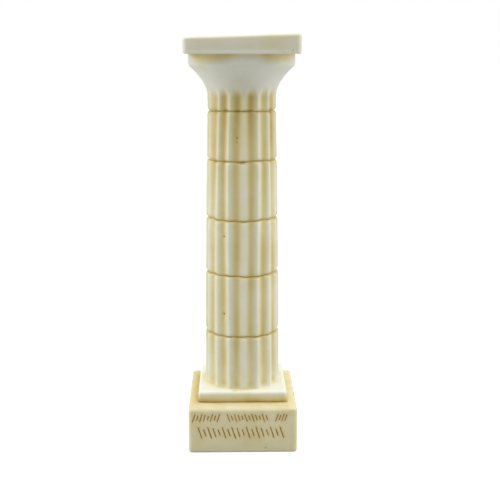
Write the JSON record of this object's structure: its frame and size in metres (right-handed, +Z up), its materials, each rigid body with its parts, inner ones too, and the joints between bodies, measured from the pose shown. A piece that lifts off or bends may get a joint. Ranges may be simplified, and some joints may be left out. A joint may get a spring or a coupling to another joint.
{
  "type": "souvenir doric column",
  "caption": "Small cast souvenir of a fluted column with jointed drums, flared round capital and slanted square top, on a foot slab and a square base block.",
  "frame": {"origin": "middle of the base block's flat underside, on the surface that it stands on", "axes": "+Z up along the column, -Y out of the base's front face, which has the rows of strokes; the slanted top rises towards +X"},
  "size_m": [0.0448, 0.0482, 0.1658],
  "materials": {
    "base_resin": "satin, finely grained, cream",
    "column_resin": "satin, ivory, with an ochre wash in the recesses"
  },
  "bodies": {
    "root": {"base_block": "base_resin", "column": "column_resin"}
  },
  "joints": []
}
